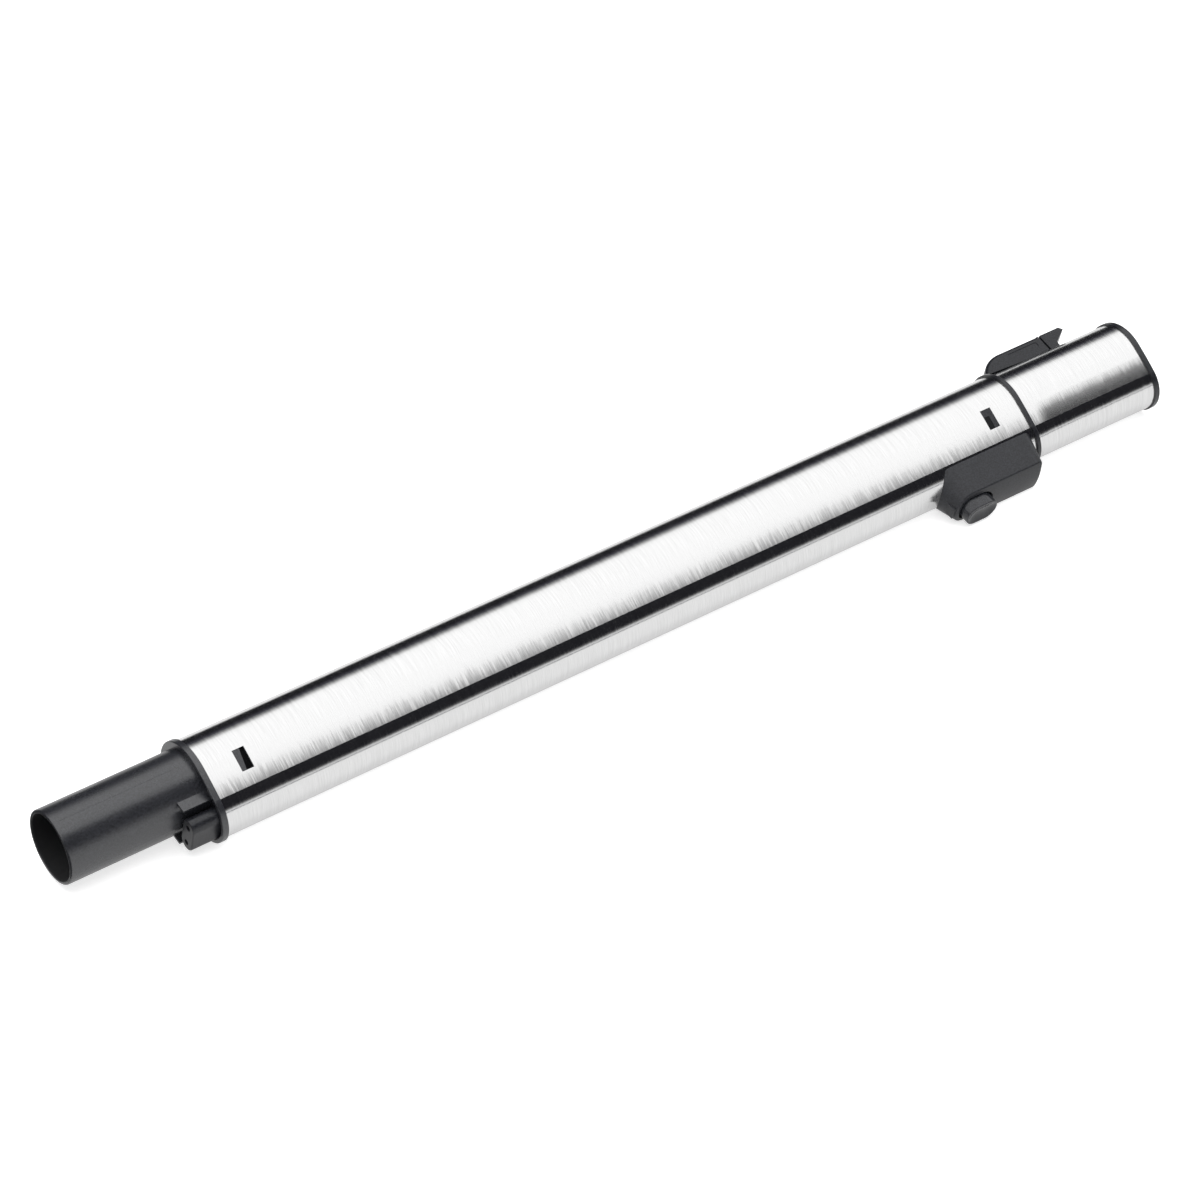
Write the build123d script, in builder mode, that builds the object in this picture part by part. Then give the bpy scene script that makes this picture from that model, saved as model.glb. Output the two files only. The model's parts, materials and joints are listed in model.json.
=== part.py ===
from build123d import *
from math import acos, asin, atan2, cos, degrees, hypot, radians, sin, sqrt, tan
import os

# Telescopic vacuum wand, pushed in: a brushed steel tube of egg section that slides in a wider one.
# X runs along the wand, from the mouth of the nozzle spigot to the handle end, on the axis of the air path.
# The narrow side of the egg carries the lead. In a section, u points to the narrow side and v across it.

os.makedirs("parts", exist_ok=True)

# Driving dimensions: egg section of the outer tube
body_radius = 20.1
nose_radius = 14.5
nose_offset = 15.1
flank_radius = 182.0
outer_wall = 0.4
sleeve_wall = 0.4
running_gap = 0.2
inner_wall = 0.5
fit_gap = 0.1
seat_gap = 0.05

# Driving dimensions: lengths along the wand
flange_front = 67.9
flange_thickness = 2.9
outer_tube_length = 456.2
mid_ring_thickness = 2.2
exposed_length = 73.5
end_ring_thickness = 3.0
tail_gap = 11.0

# Nozzle spigot
spigot_radius = 17.5
spigot_wall = 2.0
root_draft = 0.5
mouth_round = 0.8
mouth_chamfer = 0.6
flange_proud = 1.0
rim_width = 1.8
rim_round = 0.5
rim_depth = 1.5
web_thickness = 3.4
insert_length = 33.0
insert_wall = 1.5
duct_socket_depth = 15.0
guard_spread = 11.3
guard_thickness = 1.1
guard_height = 18.2
guard_length = 13.4
guard_root = 12.4

# Plug beside the spigot
contact_pitch = 9.8
plug_offset = 22.7
plug_radius = 4.2
plug_rear_radius = 2.6
plug_reach = 14.7
plug_rear_length = 22.6
plug_round = 0.7
contact_mouth_radius = 1.4
contact_mouth_depth = 2.0
contact_radius = 1.5
contact_bore = 1.0
contact_length = 18.0

# Snap windows on the flanks
window_length = 6.0
window_width = 10.3
window_arc = 2.6
window_from_front = 15.4
window_from_end = 20.9
tongue_gap = 0.15
tongue_sunk = 0.2
front_sink = ((0.2, -1), (1, -1), (1, 1), (-0.25, 1))
front_sink_depth = 1.2
rear_sink = ((-1, -0.3), (0.1, -0.3), (0.1, 1), (-1, 1))
rear_sink_depth = 0.3

# Guide sleeve and mid ring
sleeve_length = 52.0
ring_proud = 1.0
ring_round = 0.5

# Air ducts
duct_wall = 1.0
duct_gap = 0.3
fixed_duct_radius = 16.5
fixed_duct_past_end = 11.0
duct_seat_depth = 6.0
duct_shoulder = 2.0

# Tail shoe on the hidden end of the inner tube
shoe_length = 10.0
shoe_insert = 15.0
shoe_seal_width = 4.0
shoe_lip = 3.3

# Handle socket in the visible end of the inner tube
handle_bore_radius = 17.6
handle_bore_depth = 45.7
handle_chamfer = 0.8
end_ring_proud = -0.3
end_ring_round = 0.6
inlet_offset = 22.0
inlet_pocket_radius = 3.5
inlet_pocket_depth = 15.7
inlet_pin_radius = 1.0
inlet_pin_reach = 11.0
inlet_pin_sunk = 22.0

# Coiled lead in the narrow channel
lead_radius = 3.6
lead_offset = 22.6
lead_passage = 4.1

# Release housing on the narrow side, placed from the end of the outer tube
housing_foot = 22.6
housing_corner = 38.3
housing_crown = 39.7
housing_half_width = 13.65
housing_draft = 15.5
housing_left_from_end = 48.4
housing_right_from_end = 1.0
housing_right_round = 6.0
housing_wall = 1.8
housing_edge_round = 1.0
lug_thickness = 2.4
lug_width = 6.0
left_lug_from_end = 57.6
right_lug_from_end = 6.4

# Release button
button_length = 18.7
button_half_width = 6.3
button_from_end = 45.25
button_top = 44.6
button_gap = 0.8
button_ledge = 0.5
button_flange_thickness = 1.5
button_draft = 2.0
button_dish_rim = 1.2
button_dish_depth = 1.1
button_round = 0.4
nub_radius = 1.4
nub_from_end = 45.0

# Lock rocker
rocker_pin_from_end = 28.0
rocker_pin_u = 33.4
rocker_pin_radius = 1.25
rocker_pin_gap = 0.08
rocker_hub_radius = 2.4
rocker_half_width = 4.0
rocker_arm_thickness = 1.8
rocker_left_from_end = 47.5
rocker_tooth_length = 5.0
rocker_tooth_from_end = 13.5
rocker_tooth_half_width = 3.5
rocker_tooth_round = 0.5
rocker_left_top = 34.9
rocker_right_top = 34.2
boss_radius = 2.6
boss_gap = 0.6
notch_length = 6.4
notch_half_width = 4.2
notch_pitch = 25.0
lock_window_gap = 1.4
rocker_pocket_floor = 2.0
lock_spring_wire = 0.3
lock_spring_radius = 1.4
lock_spring_turns = 5

# Handle catch on the round side of the inner tube, placed from the wand's end and from its own press end
catch_from_end = 71.4
catch_body_length = 37.5
catch_slot = 1.0
catch_half_width = 7.5
catch_height = 28.2
catch_shoulder_length = 12.7
catch_press_drop = 6.7
catch_claw_drop = 0.8
catch_claw_top_length = 50.5
catch_tip_length = 52.1
catch_tip_drop = 2.8
catch_claw_foot_length = 44.1
catch_wall = 1.2
catch_gap = 0.3
catch_slot_depth = 2.5
catch_panel_depth = 0.25
catch_panel_margin = 3.2
catch_panel_height = 3.1
panel_round = 1.0
catch_round = 2.4
plate_thickness = 1.2
plate_end_gap = 0.6
ear_thickness = 1.2
ear_inner = 4.6
ear_radius = 2.2
catch_pin_length = 22.7
catch_pin_drop = 5.0
catch_pin_radius = 1.0
catch_hub_radius = 2.3
catch_swing = 3.2
catch_foot_length = 6.0
catch_foot_half_width = 3.0
catch_foot_inset = 5.0
catch_spring_length = 11.7
catch_spring_radius = 2.2
catch_spring_wire = 0.3
catch_spring_turns = 4
catch_roof_drop = 0.4

# Worked out from the sizes above
flange_rear = flange_front + flange_thickness
outer_tube_end = flange_rear + outer_tube_length
recess_radius = body_radius + flange_proud - rim_width + fit_gap
root_start = flange_front - guard_length
root_length = flange_rear - root_start
root_radius = spigot_radius + root_length * tan(radians(root_draft))
recess_shift = recess_radius - root_radius - fit_gap
lock_window_length = rocker_tooth_length + 2 * lock_window_gap
lock_window_width = 2 * rocker_tooth_half_width + lock_window_gap
mid_ring_end = outer_tube_end + mid_ring_thickness
exposed_end = mid_ring_end + exposed_length
wand_end = exposed_end + end_ring_thickness
outer_inside = -outer_wall
sleeve_inside = outer_inside - sleeve_wall
inner_outside = sleeve_inside - running_gap
inner_inside = inner_outside - inner_wall
sleeve_start = outer_tube_end - sleeve_length
shoe_start = flange_rear + insert_length + tail_gap
shoe_front = shoe_start + shoe_length
travel = sleeve_start - running_gap - shoe_front
spigot_bore = spigot_radius - spigot_wall
fixed_duct_start = flange_rear + web_thickness
fixed_duct_end = outer_tube_end + fixed_duct_past_end
sliding_duct_bore = fixed_duct_radius + duct_gap
sliding_duct_radius = sliding_duct_bore + duct_wall
handle_bore_end = wand_end - handle_bore_depth
handle_socket_start = handle_bore_end - duct_shoulder - duct_seat_depth
sliding_duct_end = handle_bore_end - duct_shoulder
sliding_duct_start = shoe_start + shoe_lip + shoe_seal_width
nose_tip = nose_offset + nose_radius
flank_angle = acos((body_radius - nose_radius) / nose_offset)
flank_from_body = flank_radius - body_radius
flank_from_nose = flank_radius - nose_radius
flank_center_u = (flank_from_body**2 - flank_from_nose**2 + nose_offset**2) / (2 * nose_offset)
flank_center_v = -sqrt(flank_from_body**2 - flank_center_u**2)
flank_bulge = flank_radius + flank_center_u * cos(flank_angle) + flank_center_v * sin(flank_angle)
plug_front = flange_front + rim_depth - plug_reach - fit_gap
plug_rear_start = flange_front + rim_depth
plug_end = plug_rear_start + plug_rear_length
contact_start = plug_front + contact_mouth_depth
inlet_start = handle_socket_start
inlet_end = wand_end - inlet_pocket_depth
left_window = flange_rear + window_from_front
right_window = outer_tube_end - window_from_end
boss_length = housing_half_width - housing_wall - boss_radius - rocker_half_width - 2 * boss_gap
housing_left_center = outer_tube_end - housing_left_from_end
housing_right = outer_tube_end - housing_right_from_end
left_lug = outer_tube_end - left_lug_from_end
right_lug = outer_tube_end - right_lug_from_end
button_center = outer_tube_end - button_from_end
nub_center = outer_tube_end - nub_from_end
rocker_pin_x = outer_tube_end - rocker_pin_from_end
rocker_left_end = outer_tube_end - rocker_left_from_end
rocker_tooth_x = outer_tube_end - rocker_tooth_from_end
catch_left = wand_end - catch_from_end
catch_body_end = catch_left + catch_body_length
catch_shoulder_x = catch_left + catch_shoulder_length
catch_claw_top_x = catch_left + catch_claw_top_length
catch_tip_x = catch_left + catch_tip_length
catch_claw_foot_x = catch_left + catch_claw_foot_length
catch_pin_x = catch_left + catch_pin_length
catch_spring_x = catch_left + catch_spring_length
catch_press_height = catch_height - catch_press_drop
catch_claw_height = catch_height - catch_claw_drop
catch_tip_height = catch_height - catch_tip_drop
catch_pin_height = catch_height - catch_pin_drop
catch_seat_radius = body_radius + inner_outside
catch_plate_radius = catch_seat_radius + plate_thickness
plate_half_width = catch_half_width - catch_wall - catch_gap
plate_left = catch_left + catch_wall + plate_end_gap
plate_end = catch_body_end - catch_wall - plate_end_gap

# The wand rests on its rings and on the lower far edge of the release housing, which sets its roll
housing_depth = housing_corner - housing_foot
crown_height = housing_crown - housing_corner
corner_half_width = housing_half_width - housing_depth * tan(radians(housing_draft))
crown_radius = (corner_half_width**2 + crown_height**2) / (2 * crown_height)
crown_slope = asin(corner_half_width / crown_radius)
side_normal = (sin(radians(housing_draft)), cos(radians(housing_draft)))
crown_normal = (cos(crown_slope), sin(crown_slope))
normals_dot = side_normal[0] * crown_normal[0] + side_normal[1] * crown_normal[1]
round_back = housing_edge_round / (1 + normals_dot)
rest_u = housing_corner - round_back * (side_normal[0] + crown_normal[0])
rest_v = corner_half_width - round_back * (side_normal[1] + crown_normal[1])
rest_reach = body_radius + ring_proud - housing_edge_round
rest_normal = atan2(rest_v, rest_u) + acos(rest_reach / hypot(rest_u, rest_v))
roll = radians(90) - rest_normal

along = Vector(1, 0, 0)
toward_nose = Vector(0, -cos(roll), -sin(roll))
across = along.cross(toward_nose)


def section_plane(x):
    """Plane across the wand at x, with u to the narrow side and v across."""
    return Plane(origin=along * x, x_dir=toward_nose, z_dir=along)


def side_plane(v=0.0):
    """Plane along the wand through v, with x along the wand and u to the narrow side."""
    return Plane(origin=across * v, x_dir=along, z_dir=across)


def plan_plane(u):
    """Plane facing the narrow side at u, with x along the wand."""
    return Plane(origin=toward_nose * u, x_dir=along, z_dir=toward_nose)


def egg(growth, mode=Mode.ADD):
    """Egg section of the tubes, moved out by growth: two arcs and two crowned flanks, all tangent."""
    big = body_radius + growth
    small = nose_radius + growth
    center = Vector(flank_center_u, flank_center_v)
    body_side = (Vector(0, 0) - center).normalized()
    nose_side = (Vector(nose_offset, 0) - center).normalized()
    start = body_side * big
    end = Vector(nose_offset, 0) + nose_side * small
    middle = center + (body_side + nose_side).normalized() * (flank_radius + growth)
    with BuildLine() as outline:
        ThreePointArc(start, middle, end)
        ThreePointArc(end, (nose_offset + small, 0), (end.X, -end.Y))
        ThreePointArc((end.X, -end.Y), (middle.X, -middle.Y), (start.X, -start.Y))
        ThreePointArc((start.X, -start.Y), (-big, 0), start)
    make_face(outline.edges(), mode=mode)


def circle_at(builder, radius, x):
    """Edge of the part under construction that is a circle of this radius about the air path at x."""
    circles = builder.edges().filter_by(GeomType.CIRCLE)
    circles = circles.filter_by(lambda edge: abs(edge.radius - radius) < seat_gap)
    return circles.sort_by(lambda edge: abs(edge.arc_center.X - x))[0]


def outermost(shapes, direction):
    """Edge or face that lies furthest along a direction."""
    return shapes.sort_by(lambda shape: shape.center().dot(direction))[-1]


def flank_plane(x, side):
    """Plane lying on one flank of the outer tube at a snap window, facing out."""
    normal = toward_nose * cos(flank_angle) + across * (side * sin(flank_angle))
    down = toward_nose * sin(flank_angle) - across * (side * cos(flank_angle))
    return Plane(origin=along * x + normal * flank_bulge + down * window_arc, x_dir=along, z_dir=normal)


def cut_windows(x):
    """Snap windows through both flanks, from x on."""
    for side in (1, -1):
        with BuildSketch(flank_plane(x + window_length / 2, side)) as window:
            Rectangle(window_length, window_width)
        extrude(window.sketch, amount=outer_wall + sleeve_wall, both=True, mode=Mode.SUBTRACT)


def add_tongues(x, root, sink, depth):
    """Snap tongues in the windows; sink outlines their deeper part, in halves of their length and width."""
    half = window_length / 2 - tongue_gap
    reach = window_width / 2 - tongue_gap
    for side in (1, -1):
        face = flank_plane(x + window_length / 2, side)
        with BuildSketch(face.offset(-tongue_sunk)) as tongue:
            Rectangle(2 * half, 2 * reach)
        extrude(tongue.sketch, amount=tongue_sunk - root)
        with BuildSketch(face.offset(-tongue_sunk)) as deeper:
            Polygon(*[(half * ahead, side * reach * down) for ahead, down in sink], align=None)
        extrude(deeper.sketch, amount=-depth, mode=Mode.SUBTRACT)


def slot_profile(u, radius, mode=Mode.ADD):
    """Round-ended slot across the wand at u, around the two contacts."""
    with Locations((u, 0)):
        SlotCenterToCenter(contact_pitch, 2 * radius, rotation=90, mode=mode)


# Outer tube
with BuildPart() as outer_tube:
    with BuildSketch(section_plane(flange_rear)):
        egg(0)
        egg(outer_inside, mode=Mode.SUBTRACT)
    extrude(amount=outer_tube_length)
    cut_windows(left_window)
    cut_windows(right_window)
    # Slots in the narrow side for the lock tooth and the two lugs of the release housing
    with BuildSketch(plan_plane(nose_tip)):
        with Locations((rocker_tooth_x, 0)):
            Rectangle(lock_window_length, lock_window_width)
        with Locations((left_lug, 0), (right_lug, 0)):
            Rectangle(lug_thickness + fit_gap, lug_width + fit_gap)
    extrude(amount=-nose_radius / 2, mode=Mode.SUBTRACT)
outer_tube.part.label = "outer_tube"

# Nozzle spigot with its collar, the sleeve that goes into the tube and the guards of the plug
with BuildPart() as nozzle_spigot:
    with BuildSketch(section_plane(0)):
        Circle(spigot_radius)
    extrude(amount=root_start)
    # Its root beside the plug widens a little, so that the cuff of the nozzle jams there
    with BuildSketch(section_plane(root_start)):
        Circle(spigot_radius)
    extrude(amount=root_length, taper=-root_draft)
    mouth = nozzle_spigot.faces().sort_by(Axis.X)[0]
    fillet(mouth.edges(), mouth_round)
    with BuildSketch(section_plane(flange_front)):
        egg(flange_proud)
    extrude(amount=flange_thickness)
    collar_front = nozzle_spigot.faces().sort_by(lambda face: abs(face.center().X - flange_front))[0]
    fillet(collar_front.outer_wire().edges(), rim_round)
    with BuildSketch(section_plane(flange_front)):
        egg(flange_proud - rim_width)
        with Locations((-recess_shift, 0)):
            Circle(recess_radius, mode=Mode.SUBTRACT)
    extrude(amount=rim_depth, mode=Mode.SUBTRACT)
    # Sleeve inside the tube, closed by a web and carrying the socket of the air duct
    with BuildSketch(section_plane(flange_rear)):
        egg(outer_inside)
    extrude(amount=insert_length)
    with BuildSketch(section_plane(fixed_duct_start)):
        egg(outer_inside - insert_wall)
    extrude(amount=insert_length, mode=Mode.SUBTRACT)
    with BuildSketch(section_plane(fixed_duct_start)):
        Circle(body_radius + outer_inside - insert_wall)
        Circle(fixed_duct_radius + seat_gap, mode=Mode.SUBTRACT)
    extrude(amount=duct_socket_depth)
    add_tongues(left_window, outer_wall + insert_wall / 2, front_sink, front_sink_depth)
    # Two guard walls beside the plug
    guard_middle = (guard_root + guard_height) / 2
    with BuildSketch(section_plane(flange_front + rim_depth)):
        with Locations((guard_middle, guard_spread), (guard_middle, -guard_spread)):
            Rectangle(guard_height - guard_root, guard_thickness)
    extrude(amount=-guard_length - rim_depth)
    with BuildSketch(section_plane(0)):
        Circle(spigot_bore)
    extrude(amount=fixed_duct_start, mode=Mode.SUBTRACT)
    with BuildSketch(section_plane(flange_front)):
        slot_profile(plug_offset, plug_rear_radius + fit_gap)
    extrude(amount=insert_length, mode=Mode.SUBTRACT)
    chamfer(circle_at(nozzle_spigot, spigot_bore, 0), mouth_chamfer)
nozzle_spigot.part.label = "nozzle_spigot"

# Plug that carries the current to the nozzle
with BuildPart() as plug_housing:
    with BuildSketch(section_plane(plug_front)):
        slot_profile(plug_offset, plug_radius)
    extrude(amount=plug_reach + fit_gap)
    fillet(plug_housing.faces().sort_by(Axis.X)[0].edges(), plug_round)
    with BuildSketch(section_plane(plug_rear_start)):
        slot_profile(plug_offset, plug_rear_radius)
    extrude(amount=plug_rear_length)
    with BuildSketch(section_plane(plug_front)):
        with Locations((plug_offset, contact_pitch / 2), (plug_offset, -contact_pitch / 2)):
            Circle(contact_mouth_radius)
    extrude(amount=contact_mouth_depth, mode=Mode.SUBTRACT)
    with BuildSketch(section_plane(contact_start)):
        with Locations((plug_offset, contact_pitch / 2), (plug_offset, -contact_pitch / 2)):
            Circle(contact_radius)
    extrude(amount=plug_end - contact_start, mode=Mode.SUBTRACT)
plug_housing.part.label = "plug_housing"

plug_contacts = []
for number, side in ((1, -1), (2, 1)):
    with BuildPart() as plug_contact:
        with BuildSketch(section_plane(contact_start)):
            with Locations((plug_offset, side * contact_pitch / 2)):
                Circle(contact_radius)
                Circle(contact_bore, mode=Mode.SUBTRACT)
        extrude(amount=contact_length)
    plug_contact.part.label = f"plug_contact_{number}"
    plug_contacts.append(plug_contact)

# Guide sleeve between the tubes, with the thin ring that closes the end of the outer tube
with BuildPart() as guide_sleeve:
    with BuildSketch(section_plane(outer_tube_end)):
        egg(ring_proud)
    extrude(amount=mid_ring_thickness)
    fillet(guide_sleeve.faces().sort_by(Axis.X)[-1].edges(), ring_round)
    with BuildSketch(section_plane(sleeve_start)):
        egg(outer_inside)
    extrude(amount=sleeve_length)
    add_tongues(right_window, outer_wall + sleeve_wall / 2, rear_sink, rear_sink_depth)
    with BuildSketch(section_plane(sleeve_start)):
        egg(sleeve_inside)
    extrude(amount=sleeve_length + mid_ring_thickness, mode=Mode.SUBTRACT)
    with BuildSketch(plan_plane(nose_tip)):
        with Locations((rocker_tooth_x, 0)):
            Rectangle(lock_window_length, lock_window_width)
        with Locations((right_lug, 0)):
            Rectangle(lug_thickness + fit_gap, lug_width + fit_gap)
    extrude(amount=-nose_radius / 2, mode=Mode.SUBTRACT)
guide_sleeve.part.label = "guide_sleeve"

# Air duct that stands still, in the nozzle spigot
with BuildPart() as fixed_duct:
    with BuildSketch(section_plane(fixed_duct_start)):
        Circle(fixed_duct_radius)
        Circle(fixed_duct_radius - duct_wall, mode=Mode.SUBTRACT)
    extrude(amount=fixed_duct_end - fixed_duct_start)
fixed_duct.part.label = "fixed_duct"

# Inner tube, with its row of lock notches on the narrow side
notch_count = int(travel // notch_pitch) + 1
with BuildPart() as inner_tube:
    with BuildSketch(section_plane(shoe_front)):
        egg(inner_outside)
        egg(inner_inside, mode=Mode.SUBTRACT)
    extrude(amount=exposed_end - shoe_front)
    with BuildSketch(plan_plane(nose_tip)):
        with Locations([(rocker_tooth_x - notch_pitch * number, 0) for number in range(notch_count)]):
            Rectangle(notch_length, 2 * notch_half_width)
    extrude(amount=-nose_radius / 2, mode=Mode.SUBTRACT)
    # Slots in the round side for the feet of the catch plate
    with BuildSketch(plan_plane(-body_radius)):
        with Locations((plate_left + catch_foot_inset, 0), (plate_end - catch_foot_inset, 0)):
            Rectangle(catch_foot_length + fit_gap, 2 * catch_foot_half_width + fit_gap)
    extrude(amount=body_radius / 2, mode=Mode.SUBTRACT)
inner_tube.part.label = "inner_tube"

# Tail shoe that guides the hidden end of the inner tube and stops it at full length
with BuildPart() as tail_shoe:
    with BuildSketch(section_plane(shoe_start)):
        egg(outer_inside - running_gap)
    extrude(amount=shoe_length)
    with BuildSketch(section_plane(shoe_front)):
        egg(inner_inside)
    extrude(amount=shoe_insert)
    with BuildSketch(section_plane(shoe_start)):
        Circle(sliding_duct_bore)
    extrude(amount=shoe_length + shoe_insert, mode=Mode.SUBTRACT)
    with BuildSketch(section_plane(shoe_start + shoe_lip)):
        Circle(sliding_duct_radius + seat_gap)
    extrude(amount=shoe_length + shoe_insert, mode=Mode.SUBTRACT)
    with BuildSketch(section_plane(shoe_start)):
        with Locations((lead_offset, 0)):
            Circle(lead_passage)
    extrude(amount=shoe_length + shoe_insert, mode=Mode.SUBTRACT)
tail_shoe.part.label = "tail_shoe"

# Seal ring that runs on the fixed duct
with BuildPart() as duct_seal:
    with BuildSketch(section_plane(shoe_start + shoe_lip)):
        Circle(sliding_duct_radius)
        Circle(sliding_duct_bore, mode=Mode.SUBTRACT)
    extrude(amount=shoe_seal_width)
duct_seal.part.label = "duct_seal"

# Air duct that slides with the inner tube
with BuildPart() as sliding_duct:
    with BuildSketch(section_plane(sliding_duct_start)):
        Circle(sliding_duct_radius)
        Circle(sliding_duct_bore, mode=Mode.SUBTRACT)
    extrude(amount=sliding_duct_end - sliding_duct_start)
sliding_duct.part.label = "sliding_duct"

# Handle socket with the end ring
with BuildPart() as handle_socket:
    with BuildSketch(section_plane(exposed_end)):
        egg(end_ring_proud)
    extrude(amount=end_ring_thickness)
    fillet(handle_socket.faces().sort_by(Axis.X)[-1].edges(), end_ring_round)
    with BuildSketch(section_plane(handle_socket_start)):
        egg(inner_inside)
    extrude(amount=exposed_end - handle_socket_start)
    with BuildSketch(section_plane(handle_socket_start)):
        Circle(sliding_duct_bore)
    extrude(amount=wand_end - handle_socket_start, mode=Mode.SUBTRACT)
    with BuildSketch(section_plane(handle_socket_start)):
        Circle(sliding_duct_radius + seat_gap)
    extrude(amount=duct_seat_depth, mode=Mode.SUBTRACT)
    with BuildSketch(section_plane(handle_bore_end)):
        Circle(handle_bore_radius)
    extrude(amount=handle_bore_depth, mode=Mode.SUBTRACT)
    with BuildSketch(section_plane(handle_socket_start)):
        slot_profile(inlet_offset, inlet_pocket_radius)
    extrude(amount=wand_end - handle_socket_start, mode=Mode.SUBTRACT)
    chamfer(circle_at(handle_socket, handle_bore_radius, wand_end), handle_chamfer)
handle_socket.part.label = "handle_socket"

# Inlet that takes the plug of the handle, with its two pins
with BuildPart() as inlet_block:
    with BuildSketch(section_plane(inlet_start)):
        slot_profile(inlet_offset, inlet_pocket_radius - seat_gap)
        with Locations((inlet_offset, contact_pitch / 2), (inlet_offset, -contact_pitch / 2)):
            Circle(inlet_pin_radius, mode=Mode.SUBTRACT)
    extrude(amount=inlet_end - inlet_start)
inlet_block.part.label = "inlet_block"

inlet_pins = []
for number, side in ((1, -1), (2, 1)):
    with BuildPart() as inlet_pin:
        with BuildSketch(section_plane(inlet_end - inlet_pin_sunk)):
            with Locations((inlet_offset, side * contact_pitch / 2)):
                Circle(inlet_pin_radius)
        extrude(amount=inlet_pin_sunk + inlet_pin_reach)
        fillet(inlet_pin.faces().sort_by(Axis.X)[-1].edges(), inlet_pin_radius / 2)
    inlet_pin.part.label = f"inlet_pin_{number}"
    inlet_pins.append(inlet_pin)

# Coiled lead, as one tube of its outer diameter
with BuildPart() as coiled_lead:
    with BuildSketch(section_plane(plug_end)):
        with Locations((lead_offset, 0)):
            Circle(lead_radius)
    extrude(amount=inlet_start - plug_end)
coiled_lead.part.label = "coiled_lead"


def housing_plan(inset=0.0):
    """Plan of the housing at its foot: half round at the left, round cornered at the right."""
    half = housing_half_width - inset
    corner = housing_right_round - inset
    right = housing_right - inset
    left = housing_left_center - half
    with BuildLine() as outline:
        Line((housing_left_center, half), (right - corner, half))
        RadiusArc((right - corner, half), (right, half - corner), corner)
        Line((right, half - corner), (right, corner - half))
        RadiusArc((right, corner - half), (right - corner, -half), corner)
        Line((right - corner, -half), (housing_left_center, -half))
        ThreePointArc((housing_left_center, -half), (left, 0), (housing_left_center, half))
    make_face(outline.edges())


def keep_under_crown(inset):
    """Trims the part under construction to the crowned bottom of the housing."""
    top = housing_crown - inset
    edge = corner_half_width + housing_half_width
    drop = crown_radius - sqrt(crown_radius**2 - edge**2)
    with BuildSketch(section_plane(0)) as crown:
        with BuildLine():
            Polyline((top - drop, -edge), (0, -edge), (0, edge), (top - drop, edge))
            ThreePointArc((top - drop, edge), (top, 0), (top - drop, -edge))
        make_face()
    extrude(crown.sketch, amount=wand_end, mode=Mode.INTERSECT)


def button_outline(growth, mode=Mode.ADD):
    """Round-ended outline of the button, moved out by growth."""
    with Locations((button_center, 0)):
        center_distance = button_length - 2 * button_half_width
        SlotCenterToCenter(center_distance, 2 * (button_half_width + growth), mode=mode)


# Hollow of the release housing, kept apart because it is cut from the housing
with BuildPart() as housing_hollow:
    with BuildSketch(plan_plane(housing_foot)):
        housing_plan(housing_wall)
    extrude(amount=housing_crown - housing_foot, taper=housing_draft)
    keep_under_crown(housing_wall)

# Release housing
with BuildPart() as release_housing:
    with BuildSketch(plan_plane(housing_foot)):
        housing_plan()
    extrude(amount=housing_crown - housing_foot, taper=housing_draft)
    keep_under_crown(0)
    bottom = outermost(release_housing.faces().filter_by(GeomType.CYLINDER), toward_nose)
    fillet(bottom.edges(), housing_edge_round)
    add(housing_hollow.part, mode=Mode.SUBTRACT)
    # Bosses for the rocker pin, held to the walls
    for side in (1, -1):
        with BuildSketch(side_plane(side * (rocker_half_width + boss_gap))):
            with Locations((rocker_pin_x, rocker_pin_u)):
                Circle(boss_radius)
        extrude(amount=side * boss_length)
    with BuildSketch(side_plane()):
        with Locations((rocker_pin_x, rocker_pin_u)):
            Circle(rocker_pin_radius + seat_gap)
    extrude(amount=corner_half_width - housing_edge_round, both=True, mode=Mode.SUBTRACT)
    with BuildSketch(section_plane(housing_left_center - housing_half_width)):
        egg(0)
    extrude(amount=wand_end - housing_left_center, mode=Mode.SUBTRACT)
    # Lugs that go through the slots of the tube
    with BuildSketch(plan_plane(nose_tip + outer_inside)):
        with Locations((left_lug, 0), (right_lug, 0)):
            Rectangle(lug_thickness, lug_width)
    extrude(amount=housing_crown - housing_wall / 2 - nose_tip - outer_inside)
    with BuildSketch(plan_plane(rocker_left_top)):
        button_outline(button_gap)
    extrude(amount=housing_crown, mode=Mode.SUBTRACT)
release_housing.part.label = "release_housing"

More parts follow.
